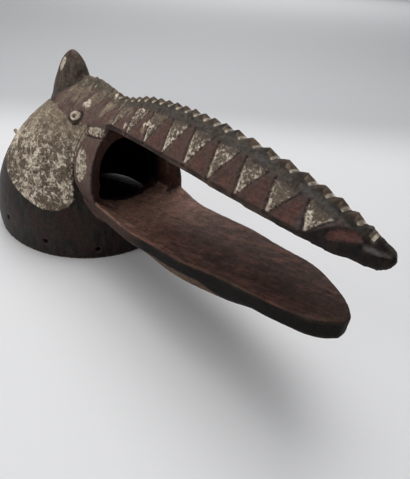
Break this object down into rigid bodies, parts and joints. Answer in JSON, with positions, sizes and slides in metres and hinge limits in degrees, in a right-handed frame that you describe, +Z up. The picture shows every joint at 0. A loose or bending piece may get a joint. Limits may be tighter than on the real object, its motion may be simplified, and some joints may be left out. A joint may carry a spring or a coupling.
{
  "type": "carved helmet mask",
  "caption": "Hollow carved wooden helmet mask of an animal head with a blunt horn, a long open beak and a notched crest along the upper beak.",
  "frame": {"origin": "on the table plane under the rim, at the middle of the length and of the width", "axes": "-Y the way the beak points, +Z up, +X to the head's own left when it looks along -Y"},
  "size_m": [0.23, 0.555, 0.214],
  "materials": {
    "carved_wood": "dark, worn, earth-pigmented carved wood with a dry matt surface"
  },
  "bodies": {
    "root": {"mask": "carved_wood"}
  },
  "joints": []
}
